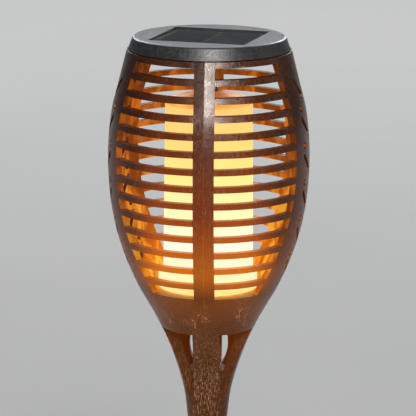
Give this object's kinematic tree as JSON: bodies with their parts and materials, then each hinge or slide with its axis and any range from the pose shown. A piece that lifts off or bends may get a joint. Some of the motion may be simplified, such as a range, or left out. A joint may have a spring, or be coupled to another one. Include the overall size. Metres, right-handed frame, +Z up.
{
  "type": "solar garden torch",
  "caption": "Solar garden torch: slotted barrel cage around a lit frosted tube, round cap with a solar panel, plug-in pole and ground spike.",
  "frame": {"origin": "on the pole's axis at ground level, at the underside of the ground spike's collar", "axes": "+Z up along the pole; the cage's mould seam is in the plane X = 0 and its front stile faces -Y"},
  "size_m": [0.12, 0.12, 0.78],
  "materials": {
    "cage_plastic": "fine matt texture, dark reddish brown",
    "pole_plastic": "fine matt texture, dark reddish brown",
    "spike_plastic": "moulded, near black",
    "cap_plastic": "speckled charcoal",
    "inner_plastic": "moulded, dark brown",
    "frosted_plastic": "frosted, lit from within",
    "panel_cells": "dark blue-black silicon",
    "panel_board": "olive laminate",
    "panel_clear": "clear resin",
    "adhesive": "soft foam tape",
    "rubber_black": "moulded rubber",
    "screw_steel": "zinc plated",
    "white_plastic": "white moulding",
    "led_face": "yellow phosphor",
    "board_green": "solder mask",
    "chip_black": "moulded package",
    "wire_red": "soft insulation",
    "cell_sleeve": "shrink sleeve",
    "contact_metal": "plated spring contact",
    "button_plastic": "moulded"
  },
  "bodies": {
    "spike": {"ground_spike": "spike_plastic"},
    "lower_section": {"lower_pole": "pole_plastic"},
    "upper_section": {"upper_pole": "pole_plastic"},
    "cage": {"left_cage_half": "cage_plastic", "right_cage_half": "cage_plastic"},
    "button": {"switch_button": "button_plastic"},
    "light_engine": {"cap_shell": "cap_plastic", "cap_base_plate": "inner_plastic", "cap_gasket": "rubber_black", "cap_screws": "screw_steel", "panel_adhesive": "adhesive", "panel_board": "panel_board", "solar_cells": "panel_cells", "panel_cover": "panel_clear", "solar_leads": "wire_red", "driver_board": "board_green", "board_components": "chip_black", "switch_body": "chip_black", "switch_seal": "rubber_black", "lamp_leads": "wire_red", "wire_stem": "inner_plastic", "stem_nuts": "contact_metal", "diffuser_top": "frosted_plastic", "diffuser_tube": "frosted_plastic", "base_collar": "frosted_plastic", "column_base": "inner_plastic", "column_screws": "screw_steel", "led_core": "white_plastic", "led_flex_board": "white_plastic", "leds": "led_face", "battery_cell": "cell_sleeve", "battery_holder": "chip_black", "battery_contacts": "contact_metal"}
  },
  "joints": [
    {"name": "lower_pole_pull", "type": "slide", "parent": "spike", "child": "lower_section", "axis": [0, 0, 1], "range_m": [0, 0.03]},
    {"name": "upper_pole_pull", "type": "slide", "parent": "lower_section", "child": "upper_section", "axis": [0, 0, 1], "range_m": [0, 0.03]},
    {"name": "head_pull", "type": "slide", "parent": "upper_section", "child": "cage", "axis": [0, 0, 1], "range_m": [0, 0.03]},
    {"name": "engine_lift", "type": "slide", "parent": "cage", "child": "light_engine", "axis": [0, 0, 1], "range_m": [0, 0.175]},
    {"name": "switch_press", "type": "slide", "parent": "light_engine", "child": "button", "axis": [0, 0, 1], "range_m": [0, 0.0015], "stiffness_N_per_m": 800, "springref_m": -0.0005}
  ]
}
